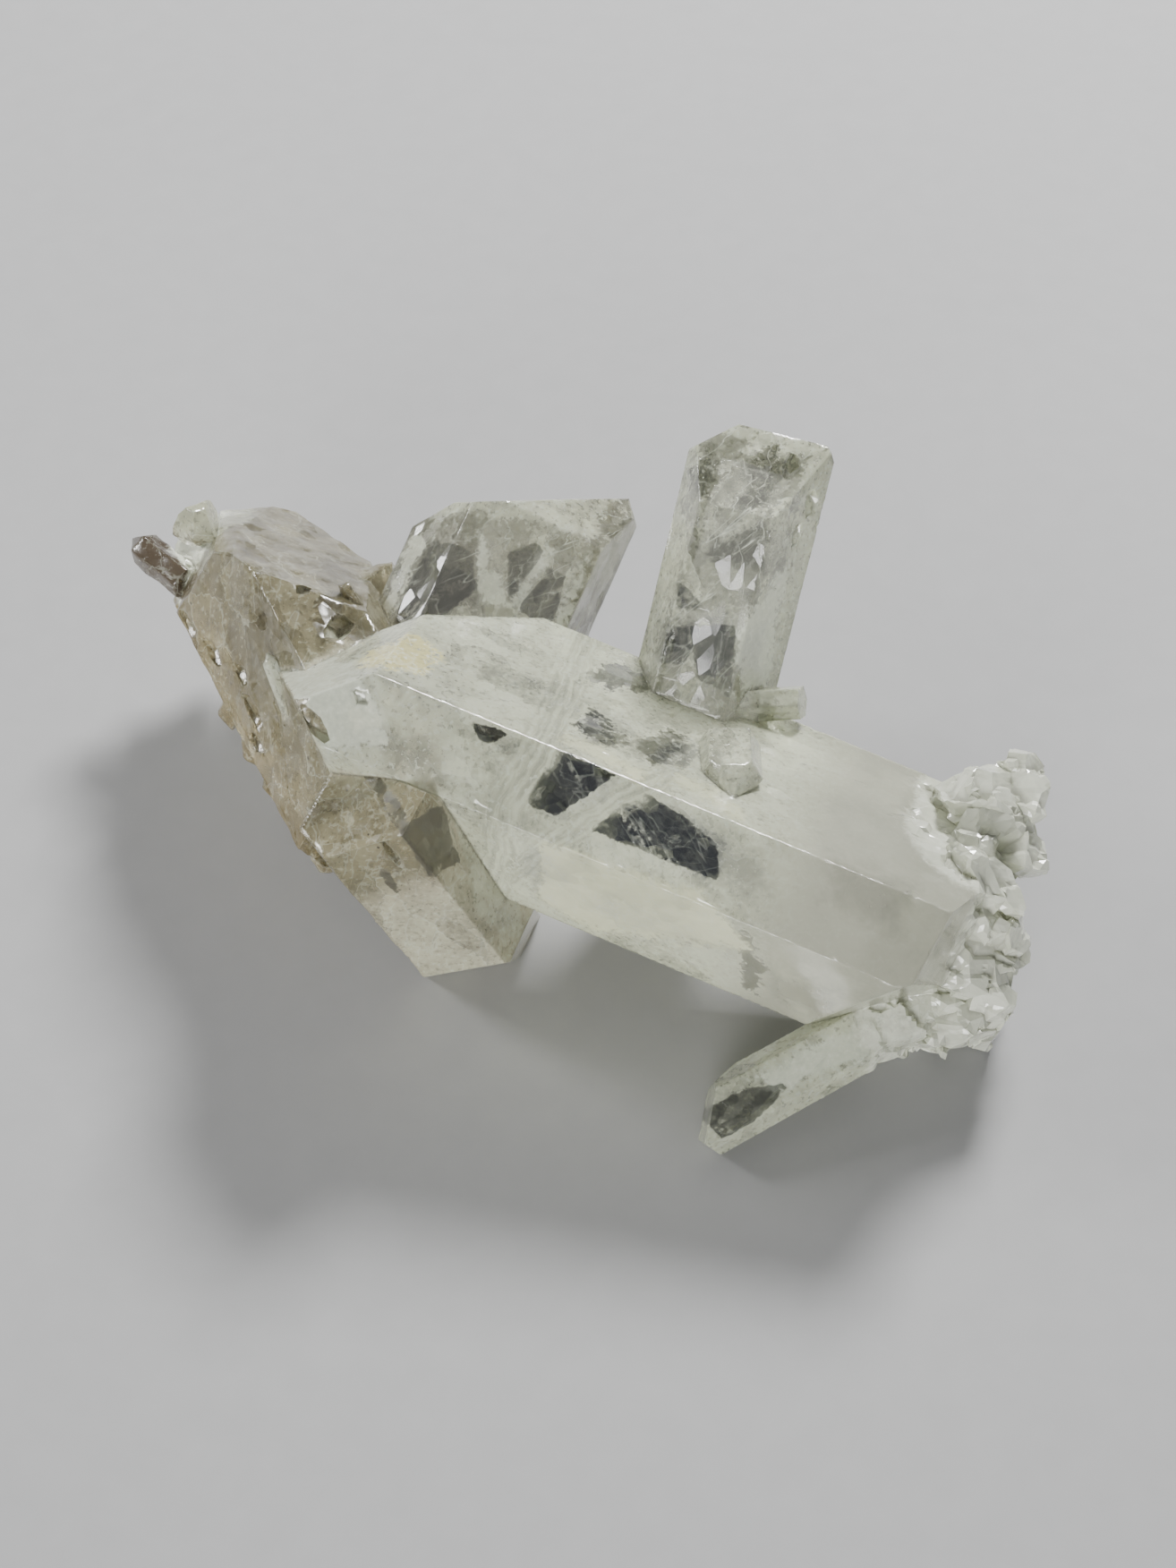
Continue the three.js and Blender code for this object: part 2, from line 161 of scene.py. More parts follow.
# ---- Zones on the crystals -------------------------------------------------------------------
# Each zone is an outline in a crystal's own millimetres: how far along the axis from the tip, and
# how far across it, positive on the side that is on the left when one looks from the tip to the
# foot with the front of the cluster down.
ZONES = {
    # Clear windows, where one looks into the inside, with painted shade for the dark seen through them.
    "window": {
        "long_window": ("main", [(23, 2.5), (23.5, -2), (28.5, -2), (25.5, 2.4)]),
        "lower_window": ("main", [(28, 2.5), (30.5, -1.8), (34, -1), (37, 0), (38, 2.2)]),
        "window_before_veil": ("main", [(17, -1.4), (20, -1.7), (19, -0.4)]),
        "foot_window": ("standing", [(17, 4), (16.7, 2.4), (19.5, 1.8), (20, 4)]),
        "foot_window_middle": ("standing", [(16.8, 2.1), (15.6, -1), (21, -2), (20.5, 0.8)]),
        "three_sided_inclusion": ("standing", [(13.4, 4), (15.4, 1), (15.5, 3.6)]),
        "left_window": ("behind", [(8.5, 6.6), (8.3, 3), (11, 1.4), (16.5, 4), (19, 5.8), (13.4, 6.5)]),
        "middle_window": ("behind", [(7.3, 0.4), (5.3, -1.3), (5.6, -2), (10.6, -1.3)]),
        "right_window": ("behind", [(10.8, -2.2), (6.6, -3), (6.6, -4.3), (11.7, -5.2)]),
        "leg_window": ("leg", [(25.2, 0), (22.5, 3.5), (17.4, 2), (19.5, -0.4)]),
        "blade_end": ("blade", [(1, -1.6), (5.5, -1.5), (8, -0.4), (5, 0.6), (1.4, 0.8)]),
        "leg_sliver": ("leg", [(22.2, -2.8), (20.9, -2.5), (17.5, -3), (19.8, -3.3)]),
    },
    # Crisp grey hollows just under the faces.
    "pocket": {
        "at_ridge": ("main", [(22, -7.6), (24, -9.8), (27.5, -10), (27, -8.6), (24.3, -8)]),
        "middle": ("main", [(23.2, -4), (24.5, -5.4), (28, -4.4), (26, -3.6)]),
        "at_wedge": ("main", [(28.5, -4.6), (30, -6.2), (33, -6), (32.6, -4), (30.2, -3.6)]),
        "smudge": ("main", [(41, 5), (43.3, 7), (43.6, 9), (42.6, 9)]),
        "tip_notch": ("main", [(5.3, 2), (8.9, 4.2), (6.2, 3.4)]),
        "dark_middle": ("standing", [(9.6, 1.2), (7.5, -1.4), (11.5, -2.5), (12.3, 1.9), (10.5, 2.3)]),
        "upper": ("standing", [(7, 1.3), (4.4, 0.9), (1.8, -0.8), (4.6, -1.6), (6.6, -1.4)]),
        "left": ("standing", [(5.6, 5), (4.5, 4), (5.8, 3), (7.2, 4.4)]),
        "right_grey": ("behind", [(10.2, -6.2), (4.9, -6.6), (5, -7.8), (11, -7.6)]),
        "cavity": ("smoky", [(20.8, -3.6), (18.9, -5.8), (25, -6.6), (24, -2.8)]),
    },
    # Soft grey clouds deeper inside.
    "cloud": {
        "after_window": ("main", [(33, -1.4), (40, -0.6), (42, 2), (36, 2.6)]),
        "tip": ("main", [(11, 1.6), (15, 1), (17, 3.4), (13, 4.2)]),
        "right": ("main", [(45, -2.4), (51, -2.6), (51, 0.6), (46, 0.4)]),
        "low": ("main", [(44, 7), (49, 6.6), (49, 9), (45, 9)]),
        "under_veil": ("main", [(25, 6.5), (29, 6), (30, 8), (26, 8.6)]),
    },
    # Milky places on the clearer crystals, and places made milkier as painted light where marked.
    "haze": {
        "top": ("standing", [(-3, 7), (-3, -7), (2.2, -5), (2.8, 0), (2, 4.6)]),
        "left_strip": ("standing", [(2, 7), (2, 4.6), (12, 4.5), (21, 4.3), (21, 7)]),
        "right_strip": ("standing", [(2, -3.4), (9, -3.6), (21, -4.2), (21, -7), (2, -7)]),
        "broken_top": ("behind", [(-5, 9), (6.5, 8), (5.6, 4), (4.6, 0), (3, -5), (-5, -6)]),
        # Painted light: the leg's lit side, made milkier.
        "lit_side": ("leg", [(22.4, 4), (18, 5.4), (11, 5), (6, 2), (13, 0.5), (17, 2.6)]),
        "cool_tip": ("main", [(0, -1), (6, -5), (15, -6), (17, 2), (15, 6), (5, 4), (0, 1)]),
        # A whitish corner with a painted highlight on it.
        "white_highlight_corner": ("smoky", [(-1, 2.5), (0, -2.5), (5, -2), (7, 0.5), (6, 3.5), (2, 4.5)]),
        "blade_top": ("blade", [(6.5, 3), (6.5, -3), (22, -3), (22, 3)]),
        "blade_rim": ("blade", [(-2, 3), (-2, -3), (1, -2.4), (0.8, 1.2), (8, 1.6), (8, 3)]),
    },
    # White frosted bands and patches, and a painted highlight along a lit bevel.
    "frost": {
        "white_tip": ("main", [(0, 0), (3, -2.4), (9, -1.8), (12, 2.4), (8.4, 4.4), (3, 2.2)]),
        "band": ("standing", [(15.5, -1.4), (12.7, -2.8), (9.7, -4), (20, -4.4), (21.2, -2.5)]),
        "ridge_middle": ("behind", [(5, -2.1), (5, -2.9), (11, -2), (11, -1.3)]),
        "ridge_right": ("behind", [(4.6, -5), (4.6, -5.9), (11.6, -6), (11.6, -5.3)]),
        "ridge_left": ("behind", [(6.8, 3), (7.2, 2), (10.4, 0.8), (10.6, 1.6)]),
        "bright_wedge": ("behind", [(9.4, 2), (8.6, 0.7), (11, -1.5), (11.5, 0.8)]),
        # Painted highlight along the lit left bevel.
        "lit_left_bevel": ("behind", [(7.6, 8), (17, 7.8), (14.6, 6.8), (8.5, 6.6)]),
        "blade_streak": ("blade", [(5.4, -2.4), (16, -1.6), (19, 0), (12, 0.6), (6.4, -0.4)]),
        "low_edge": ("smoky", [(28.4, 5.8), (36.5, 3), (41.5, 3.5), (32.5, 5.2)]),
    },
    # Painted light: cream glints where fractures inside catch the light, and the painted glow under the
    # windows.
    "glow": {
        "stripe": ("main", [(23.5, -3.6), (30, -3), (30.3, -2.2), (23.6, -2.8)]),
        "stripe_lower": ("main", [(31.8, -4), (37.6, -3.2), (37.8, -2.4), (31.8, -3)]),
        "milk_under_windows": ("main", [(25, 4.6), (37, 3.4), (42, 6), (31, 9.4), (26, 9)]),
    },
}
# Healed fractures that cross the main crystal: a centre line and half the width of the band.
VEILS = {
    "long_veil": ("main", [(20.5, -11), (22, -5), (22.4, -1), (21.8, 3), (22.4, 7), (22, 10)], 1.5),
    "cross_veil": ("main", [(23.6, 8), (26.8, 3), (29.2, -0.4), (31.2, -2.4), (33, -6.2)], 0.9),
}
ZONE_FAR = 3.0  # mm beyond which a zone isn't felt
TIP_REACH = 3.0  # mm past its tip that a crystal's faces may still be felt
LEAST_WIDTH = 0.2  # of a tapering crystal, at its very tip
TINY = 1e-9  # mm, in place of a rise of nothing, which can't be divided by


def crystal_frame(name):
    c = CRYSTALS[name]
    down = -direction(c["azimuth"], c["rise"])
    across = down.cross(TO_CAMERA).normalized()
    return np.array(c["tip"]), np.array(down), np.array(across), np.array(across.cross(down))


def own_place(name, p):
    """Along the axis from the tip, across it, and out from it."""
    tip, down, across, out = crystal_frame(name)
    return np.stack([(p - tip) @ down, (p - tip) @ across, (p - tip) @ out], 1)


def distance_from_axis(name, p):
    """How far points lie from a crystal's axis, in its own rough half widths."""
    c = CRYSTALS[name]
    q = own_place(name, p)
    past = q[:, 0] - np.clip(q[:, 0], 0, c["length"])
    taper = c.get("taper", 0)
    share = np.clip((q[:, 0] + TIP_REACH) / (taper + TIP_REACH), LEAST_WIDTH, 1)
    return np.sqrt(past ** 2 + q[:, 1] ** 2 + q[:, 2] ** 2) / (c["radius"] * share)


def face_corners(mesh):
    corners = np.zeros(len(mesh.polygons) * 3, int)
    mesh.polygons.foreach_get("vertices", corners)
    return corners.reshape(-1, 3)


def crystal_of_each_point(mesh, p):
    """Every flat face belongs to the crystal whose axis lies nearest to the face as a whole."""
    corners = face_corners(mesh)
    facet = np.zeros(len(mesh.polygons), int)
    mesh.attributes["facet"].data.foreach_get("value", facet)
    area = np.zeros(len(mesh.polygons))
    mesh.polygons.foreach_get("area", area)
    middle = p[corners].mean(axis=1)
    names = list(CRYSTALS)
    score = [np.bincount(facet, distance_from_axis(name, middle) * area) for name in names]
    nearest = np.argmin(np.array(score), axis=0)[facet]
    owner = np.zeros(len(p), int)
    owner[corners] = nearest[:, None]
    return np.array(names)[owner]


def inside_by(q, outline):
    """How far inside an outline each 2D point lies, negative outside."""
    poly = np.array(outline, float)
    nearest = np.full(len(q), np.inf)
    odd = np.zeros(len(q), bool)
    for a, b in zip(poly, np.roll(poly, -1, axis=0)):
        ab = b - a
        t = np.clip((q - a) @ ab / (ab @ ab), 0, 1)
        nearest = np.minimum(nearest, np.linalg.norm(q - a - t[:, None] * ab, axis=1))
        crosses = (a[1] > q[:, 1]) != (b[1] > q[:, 1])
        rise = ab[1] if abs(ab[1]) > TINY else TINY
        odd ^= crosses & (q[:, 0] < a[0] + (q[:, 1] - a[1]) * ab[0] / rise)
    return np.where(odd, nearest, -nearest)


def zone_depth(kind, p, owner):
    depth = np.full(len(p), -ZONE_FAR)
    for name, outline in ZONES[kind].values():
        on = owner == name
        depth[on] = np.maximum(depth[on], inside_by(own_place(name, p[on])[:, :2], outline))
    return depth


def veil_depth(p, owner):
    """Depth inside the nearest veil, and the place in it: across and along, in mm."""
    depth = np.full(len(p), -ZONE_FAR)
    place = np.zeros((len(p), 3))
    for name, line, half in VEILS.values():
        q = own_place(name, p)[:, :2]
        run = 0.0
        for a, b in zip(np.array(line[:-1], float), np.array(line[1:], float)):
            ab = b - a
            size = np.linalg.norm(ab)
            t = np.clip((q - a) @ ab / size ** 2, 0, 1)
            off = q - a - t[:, None] * ab
            away = np.linalg.norm(off, axis=1)
            side = np.sign(off @ np.array([ab[1], -ab[0]]))
            better = (owner == name) & (half - away > depth)
            depth[better] = (half - away)[better]
            place[better] = np.stack([side * away, run + t * size, 0 * t], 1)[better]
            run += size
    return depth, place


# How milky each crystal is, and how brown.
MILK = dict(main=0.80, standing=0.46, behind=0.42, smoky=0.58, leg=0.74, blade=0.84,
            prop=0.4, dark_tip=0.5, block=0.8, wedge=0.78)
SMOKE = dict(main=0.0, standing=0.05, behind=0.2, smoky=0.95, leg=0.48, blade=0.0,
             prop=0.9, dark_tip=2.0, block=0.0, wedge=0.0)
# How dark the windows of each crystal are painted: painted shade for the dark seen through them.
DARKNESS = dict(main=1.0, standing=0.68, behind=0.72, leg=0.75, blade=0.55)
MILKY_FROM = 39.0  # mm from the main tip
MILKY_OVER = 5.0
EVEN_MILK = 0.92  # of the evenly milky foot of the main crystal
LEG_BROWN_FROM = 16.0  # mm from the leg's tip
LEG_BROWN_OVER = 5.0
IRON = ((-13.9, -10.5, 25), 4.0)  # middle and reach of the stain
FULL_HOLLOW = 0.12  # mm below its neighbours that a point counts as quite hollow
HOLLOW_ROUNDS = 3
ROCK_ROUNDS = 2
OCHRE_FROM = 2.0  # mm across the smoky crystal
OCHRE_OVER = 4.0
DRIFT = 6.0  # mm, size of the broad drift in milkiness
MEETING_ROUNDS = 4  # of smoothing, where crystals run into each other


def blended(levels, owner):
    value = np.zeros(len(owner))
    for name, level in levels.items():
        value[owner == name] = level
    return value


def mesh_edges(mesh):
    edges = np.zeros(len(mesh.edges) * 2, int)
    mesh.edges.foreach_get("vertices", edges)
    return edges[::2], edges[1::2]


def smooth_values(mesh, value, rounds):
    """Averages a value with its neighbours' values, so that it runs over borders softly."""
    a, b = mesh_edges(mesh)
    count = 1 + np.bincount(a, minlength=len(value)) + np.bincount(b, minlength=len(value))
    for _ in range(rounds):
        total = value + np.bincount(a, value[b], len(value)) + np.bincount(b, value[a], len(value))
        value = total / count
    return value


def hollowness(mesh, co, normal):
    """Positive in hollows and negative on ridges, from -1 to 1."""
    level = np.stack([smooth_values(mesh, co[:, k], HOLLOW_ROUNDS) for k in range(3)], 1)
    return np.clip(((level - co) * normal).sum(1) / (FULL_HOLLOW * MM), -1, 1)


def set_value(mesh, name, value):
    attribute = mesh.attributes.new(name, "FLOAT", "POINT")
    attribute.data.foreach_set("value", value.astype(np.float32))


def set_place(mesh, name, place):
    attribute = mesh.attributes.new(name, "FLOAT_VECTOR", "POINT")
    attribute.data.foreach_set("vector", place.astype(np.float32).ravel())


# ---- Relief ----------------------------------------------------------------------------------
# Each kind of relief: how high it stands and the size of its forms, in mm.
WAVES = (0.03, 4.0)
RIPPLES = (0.012, 1.6)
ETCHING = (0.15, 2.6)
CRUMBS = (0.06, 0.9)
SHATTER = (0.50, 2.2)
# How strongly each crystal is etched.
ETCHED = {"smoky": 1.0, "prop": 1.0, "dark_tip": 1.0, "behind": 0.3}
RIM_WORN = 0.02  # mm, everywhere along a sharp edge
RIM_CHIPPED = 0.35  # mm, at most, in the chips of an edge
CHIP_SPACING = 1.1  # mm
CHIP_FROM = 0.25  # of the chip noise, below which an edge is whole
CHIP_STEEPNESS = 1.5
FULL_WEAR = math.radians(50)  # edges at least this sharp wear the most
ROCK_LEAST = 0.01  # share of rock below which its relief is not worked out
SEED_STEPS = (7.3, 3.1, 5.7)  # of the noise's own unit
OCTAVES = (1.0, 2.1, 3)  # how fast they weaken, how much finer each one is, how many there are
LEAN_SPREAD = 9  # sets the leans of neighbouring flakes apart


def seed_shift(seed):
    """Where in the noise each seed starts."""
    return Vector([seed * step for step in SEED_STEPS])


def wavy(p, size, seed):
    """Smooth noise between -1 and 1, size in mm."""
    shift = seed_shift(seed)
    return np.array([noise.noise(Vector(q) / size + shift) for q in p])


def craggy(p, size, seed):
    """Rough noise, size in mm."""
    shift = seed_shift(seed)
    return np.array([noise.fractal(Vector(q) / size + shift, *OCTAVES) for q in p])


def shattered(p, size):
    """Flat facets that tilt each its own way, with steps between them."""
    height = []
    for q in p:
        place = Vector(q) / size
        _, seeds = noise.voronoi(place)
        lean = noise.cell_vector(seeds[0] * LEAN_SPREAD)
        height.append((place - seeds[0]).dot(lean))
    return np.array(height)


def relief(p, owner, rock, edge):
    """How far in mm each point stands out of its flat face."""
    height = WAVES[0] * wavy(p, WAVES[1], 1) + RIPPLES[0] * wavy(p, RIPPLES[1], 2)
    height += blended(ETCHED, owner) * ETCHING[0] * craggy(p, ETCHING[1], 4)
    rough = rock > ROCK_LEAST
    height[rough] += rock[rough] * CRUMBS[0] * craggy(p[rough], CRUMBS[1], 4)
    height[rough] += rock[rough] * SHATTER[0] * shattered(p[rough], SHATTER[1])
    chips = np.clip(wavy(p, CHIP_SPACING, 5) - CHIP_FROM, 0, 1) ** CHIP_STEEPNESS
    height -= edge * (RIM_WORN + RIM_CHIPPED * chips) * (1 - rock)
    return height


def vertex_vectors(mesh, name):
    values = np.zeros(len(mesh.vertices) * 3)
    mesh.vertices.foreach_get(name, values)
    return values.reshape(-1, 3)


def lifted(mesh, co, normal, p, owner, rock, sharp):
    """Where the points come to lie with the relief; what stands on the ground stays on it."""
    edge = np.clip(sharp / FULL_WEAR, 0, 1)
    moved = co + normal * (relief(p, owner, rock, edge) * MM)[:, None]
    ground = p[:, 2] < GROUND_NEAR
    moved[ground] = co[ground]
    moved[:, 2] = np.maximum(moved[:, 2], 0.0)
    mesh.vertices.foreach_set("co", moved.ravel())
    mesh.update()
    return moved


def rise_over(value, start, reach):
    return np.clip((value - start) / reach, 0, 1)


def store_crystals(mesh, p, owner):
    """The milk and the brown of each crystal, blended where crystals meet."""
    own = np.zeros((len(p), 3))
    for name in CRYSTALS:
        own[owner == name] = own_place(name, p[owner == name])
    set_place(mesh, "own", own)
    even = (owner == "main") * rise_over(own[:, 0], MILKY_FROM, MILKY_OVER)
    milk = blended(MILK, owner)
    milk += (EVEN_MILK - milk) * even
    brown_foot = (owner == "leg") * rise_over(own[:, 0], LEG_BROWN_FROM, LEG_BROWN_OVER)
    smoke = blended(SMOKE, owner) + brown_foot * (SMOKE["smoky"] - SMOKE["leg"])
    ochre = (owner == "smoky") * rise_over(own[:, 1], OCHRE_FROM, OCHRE_OVER)
    set_value(mesh, "darkness", blended(DARKNESS, owner))
    for name, value in dict(even=even, milk=milk, smoke=smoke, ochre=ochre).items():
        set_value(mesh, name, smooth_values(mesh, value, MEETING_ROUNDS))


def store_marks(mesh, p, owner):
    """How deep each point lies in the zones, the veils and the iron stain."""
    for kind in ZONES:
        set_value(mesh, kind, zone_depth(kind, p, owner))
    depth, place = veil_depth(p, owner)
    set_value(mesh, "veil", depth)
    set_place(mesh, "veil_place", place)
    middle, reach = IRON
    away = np.linalg.norm(p - np.array(middle), axis=1)
    set_value(mesh, "iron", (owner == "main") * np.clip(1 - away / reach, 0, 1))
    set_value(mesh, "drift", craggy(p, DRIFT, 6))


def shade(mesh, rock):
    """Sharp crystal edges stay crisp, and each flake of the rock is flat."""
    mesh.set_sharp_from_angle(angle=SHADED_SHARP)
    smooth = rock[face_corners(mesh)].mean(axis=1) < ROCK_FROM
    mesh.polygons.foreach_set("use_smooth", smooth)


def make_skin():
    bm = welded_copy(NODE)
    split_long_edges(bm)
    sharp = np.array([
        max((e.calc_face_angle(0.0) for e in v.link_edges), default=0.0) for v in bm.verts])
    mesh = bpy.data.meshes.new("quartz_skin")
    bm.to_mesh(mesh)
    bm.free()
    co = vertex_vectors(mesh, "co")
    normal = vertex_vectors(mesh, "normal")
    p = own_mm(co)
    owner = crystal_of_each_point(mesh, p)
    rock = smooth_values(mesh, rock_share(p), ROCK_ROUNDS)
    moved = lifted(mesh, co, normal, p, owner, rock, sharp)
    store_crystals(mesh, p, owner)
    store_marks(mesh, p, owner)
    set_value(mesh, "rock", rock)
    # Where painted highlights along sharp edges may go: sharp crystal edges outside the rock.
    set_value(mesh, "rim", (sharp > SHARP) * (1 - rock))
    set_value(mesh, "hollow", hollowness(mesh, moved, normal))
    shade(mesh, rock)
    skin = bpy.data.objects.new("quartz_skin", mesh)
    bpy.context.scene.collection.objects.link(skin)
    return skin


# ---- Node writer -----------------------------------------------------------------------------
NOISE_ROUGHNESS = 0.55
HALF = (0.5, 0.5, 0.5)


class Nodes:
    """A small writer of node trees. put and vector give back the node that they add, and the
    others give back what can be linked from theirs."""

    def __init__(self, material):
        material.use_nodes = True
        self.tree = material.node_tree
        self.tree.nodes.clear()

    def put(self, kind, inputs=None, **settings):
        node = self.tree.nodes.new(kind)
        for key, value in settings.items():
            setattr(node, key, value)
        for key, value in (inputs or {}).items():
            self.join(node.inputs[key], value)
        return node

    def join(self, socket, value):
        if isinstance(value, bpy.types.NodeSocket):
            self.tree.links.new(value, socket)
        else:
            socket.default_value = value

    def attribute(self, name, output="Fac"):
        return self.put("ShaderNodeAttribute", attribute_name=name).outputs[output]

    def math(self, operation, a, b=0.0, clamp=False):
        return self.put(
            "ShaderNodeMath", {0: a, 1: b}, operation=operation, use_clamp=clamp).outputs[0]

    def vector(self, operation, a, b):
        return self.put("ShaderNodeVectorMath", {0: a, 1: b}, operation=operation)

    def add(self, *values):
        total = values[0]
        for value in values[1:]:
            total = self.math("ADD", total, value)
        return total

    def brightest(self, *values):
        top = values[0]
        for value in values[1:]:
            top = self.math("MAXIMUM", top, value)
        return top

    def times(self, a, b):
        return self.math("MULTIPLY", a, b)

    def less(self, a, b):
        return self.math("SUBTRACT", a, b)

    def swing(self, value, reach):
        """A noise about 0.5 turned into one about 0 that is so many times as wide."""
        return self.times(self.less(value, 0.5), reach)

    def without(self, value, mask, share=1.0):
        """The value, less a share of itself where the mask is 1."""
        return self.times(value, self.less(1.0, self.times(mask, share)))

    def step(self, value, low, high):
        """Smooth rise from 0 at low to 1 at high."""
        node = self.put("ShaderNodeMapRange", {0: value, 1: low, 2: high, 3: 0.0, 4: 1.0},
                        interpolation_type="SMOOTHSTEP")
        return node.outputs[0]

    def drop(self, value, low, high):
        """Smooth fall from 1 at low to 0 at high."""
        return self.less(1.0, self.step(value, low, high))

    def ridge(self, value, width):
        """1 on the thin lines where a noise passes its middle."""
        return self.drop(self.math("ABSOLUTE", self.less(value, 0.5)), 0.0, width)

    def stretched(self, vector, scale):
        return self.vector("MULTIPLY", vector, scale).outputs[0]

    def sum(self, a, b):
        return self.vector("ADD", a, b).outputs[0]

    def parts(self, color):
        return self.put("ShaderNodeSeparateColor", {0: color}).outputs

    def noises(self, vector, size, detail, distortion=0.0):
        """Three noises that differ, from one texture; size in the vector's own unit."""
        inputs = {"Vector": vector, "Scale": 1.0 / size, "Detail": detail,
                  "Roughness": NOISE_ROUGHNESS, "Distortion": distortion}
        return self.parts(self.put("ShaderNodeTexNoise", inputs).outputs["Color"])

    def cells(self, vector, size, feature="F1"):
        inputs = {"Vector": vector, "Scale": 1.0 / size}
        return self.put("ShaderNodeTexVoronoi", inputs, feature=feature).outputs

    def flakes(self, vector, size):
        """Cells, and the height of flat flakes in them that tilt each its own way."""
        cells = self.cells(vector, size)
        away = self.vector("SUBTRACT", vector, cells["Position"]).outputs[0]
        lean = self.vector("SUBTRACT", cells["Color"], HALF).outputs[0]
        return cells, self.vector("DOT_PRODUCT", away, lean).outputs["Value"]

    def mix(self, share, a, b):
        node = self.put("ShaderNodeMix", data_type="RGBA")
        self.join(node.inputs[0], share)
        self.join(node.inputs[6], a)
        self.join(node.inputs[7], b)
        return node.outputs[2]

    def blend(self, share, a, b):
        node = self.put("ShaderNodeMix", data_type="FLOAT")
        self.join(node.inputs[0], share)
        self.join(node.inputs[2], a)
        self.join(node.inputs[3], b)
        return node.outputs[0]


# ---- The quartz ------------------------------------------------------------------------------
QUARTZ_IOR = 1.544
DEEP = (0.23, 0.235, 0.205, 1)
GREY = (0.47, 0.48, 0.385, 1)
MILK_WHITE = (0.79, 0.82, 0.62, 1)
EVEN_GREY = (0.49, 0.485, 0.395, 1)
TIP_BROWN = (0.07, 0.05, 0.035, 1)
FROST_AND_GLINT_WHITE = (0.89, 0.94, 0.80, 1)
GLOW_CREAM = (0.90, 0.91, 0.62, 1)
WINDOW_PAINTED_DARK = (0.036, 0.040, 0.048, 1)
BEIGE = (0.56, 0.48, 0.32, 1)
BROWN_DARK = (0.125, 0.102, 0.050, 1)
BROWN_LIGHT = (0.30, 0.25, 0.125, 1)
OCHRE = (0.28, 0.20, 0.07, 1)
SPECK_DARK = (0.05, 0.04, 0.03, 1)
RUST = (0.50, 0.43, 0.15, 1)
RUST_PALE = (0.84, 0.80, 0.40, 1)
ROCK_GREY = (0.66, 0.68, 0.54, 1)
ROCK_WHITE = (0.96, 0.98, 0.85, 1)
CREVICE_SHADE = (0.13, 0.12, 0.09, 1)

# Sizes of what fills the crystals, in mm, and how each is stretched along, across and out from
# the axis of its crystal.
WISP = 2.4
GRAIN = 0.42
SHARD = 2.8
SHARD_STRETCH = (0.5, 1.0, 0.6)
SHARD_BEND = (1.6, 1.6, 1.6)
CHIP = 1.0
CHIP_STRETCH = (0.6, 1.0, 1.0)
THREAD = 1.5
THREAD_STRETCH = (0.16, 1.0, 0.5)
THREAD_SLANT = math.radians(-38)
VEIL_STREAK = 0.42
VEIL_STRETCH = (1.0, 0.12, 1.0)
VEIL_BEND = (0.8, 0.3, 0.0)
GROWTH_STRETCH = (1.6, 0.2, 0.2)
GROWTH_HEIGHT = 0.2 * MM
FLAKE_HEIGHT = 1.0 * MM
FACE_ROUGHNESS = 0.04
# How far a bright line reaches from its cell edge, or from the middle value of its noise.
CRACK_WIDTH = 0.035
THREAD_WIDTH = 0.018
HAIR_WIDTH = 0.02

# How each kind of zone ends, in mm: how far its outline wanders, how ragged it is close up, and
# over what distance it fades.
ZONE_ENDS = {
    "window": (0.9, 0.35, 0.08),
    "pocket": (2.4, 1.6, 0.25),
    "cloud": (3.0, 0.6, 1.3),
    "haze": (2.4, 1.2, 0.4),
    "frost": (2.5, 1.2, 0.35),
    "glow": (2.0, 1.0, 0.35),
    "veil": (2.2, 1.0, 0.5),
}


# In the layers below a bare number is a weight or a threshold. A noise lies about 0.5, and a zone
# runs from 0 outside it to 1 inside.
def quartz_textures(n):
    """The noises, cells and flakes that the other layers draw on."""
    own = n.attribute("own", "Vector")
    place = n.stretched(n.put("ShaderNodeTexCoord").outputs["Object"], (1 / MM, 1 / MM, 1 / MM))
    wisp, blotch, drift = n.noises(place, WISP, 3.0, 1.0)
    grain, sparkle, *_ = n.noises(place, GRAIN, 2.0)
    bend = n.put("ShaderNodeCombineXYZ", {0: wisp, 1: blotch, 2: drift}).outputs[0]
    shard_place = n.sum(n.stretched(own, SHARD_STRETCH), n.stretched(bend, SHARD_BEND))
    shard = n.cells(shard_place, SHARD)
    shard_edge = n.cells(shard_place, SHARD, "DISTANCE_TO_EDGE")[0]
    chip, chip_tilt = n.flakes(n.stretched(own, CHIP_STRETCH), CHIP)
    slanted = n.put("ShaderNodeVectorRotate", {"Vector": own, "Angle": THREAD_SLANT},
                    rotation_type="Z_AXIS").outputs[0]
    slant = n.noises(n.stretched(slanted, THREAD_STRETCH), THREAD, 2.5)
    in_veil = n.stretched(n.attribute("veil_place", "Vector"), VEIL_STRETCH)
    streak, hair, *_ = n.noises(n.sum(in_veil, n.stretched(bend, VEIL_BEND)), VEIL_STREAK, 2.0)
    shard_tone, shard_pick, *_ = n.parts(shard["Color"])
    chip_tone, chip_pick, *_ = n.parts(chip["Color"])
    return SimpleNamespace(
        own=own, wisp=wisp, blotch=blotch, grain=grain, sparkle=sparkle,
        shard_middle=shard["Distance"], shard_edge=shard_edge,
        shard_tone=shard_tone, shard_pick=shard_pick,
        chip_middle=chip["Distance"], chip_tilt=chip_tilt, chip_tone=chip_tone,
        chip_pick=chip_pick, slant=slant, streak=streak, hair=hair)


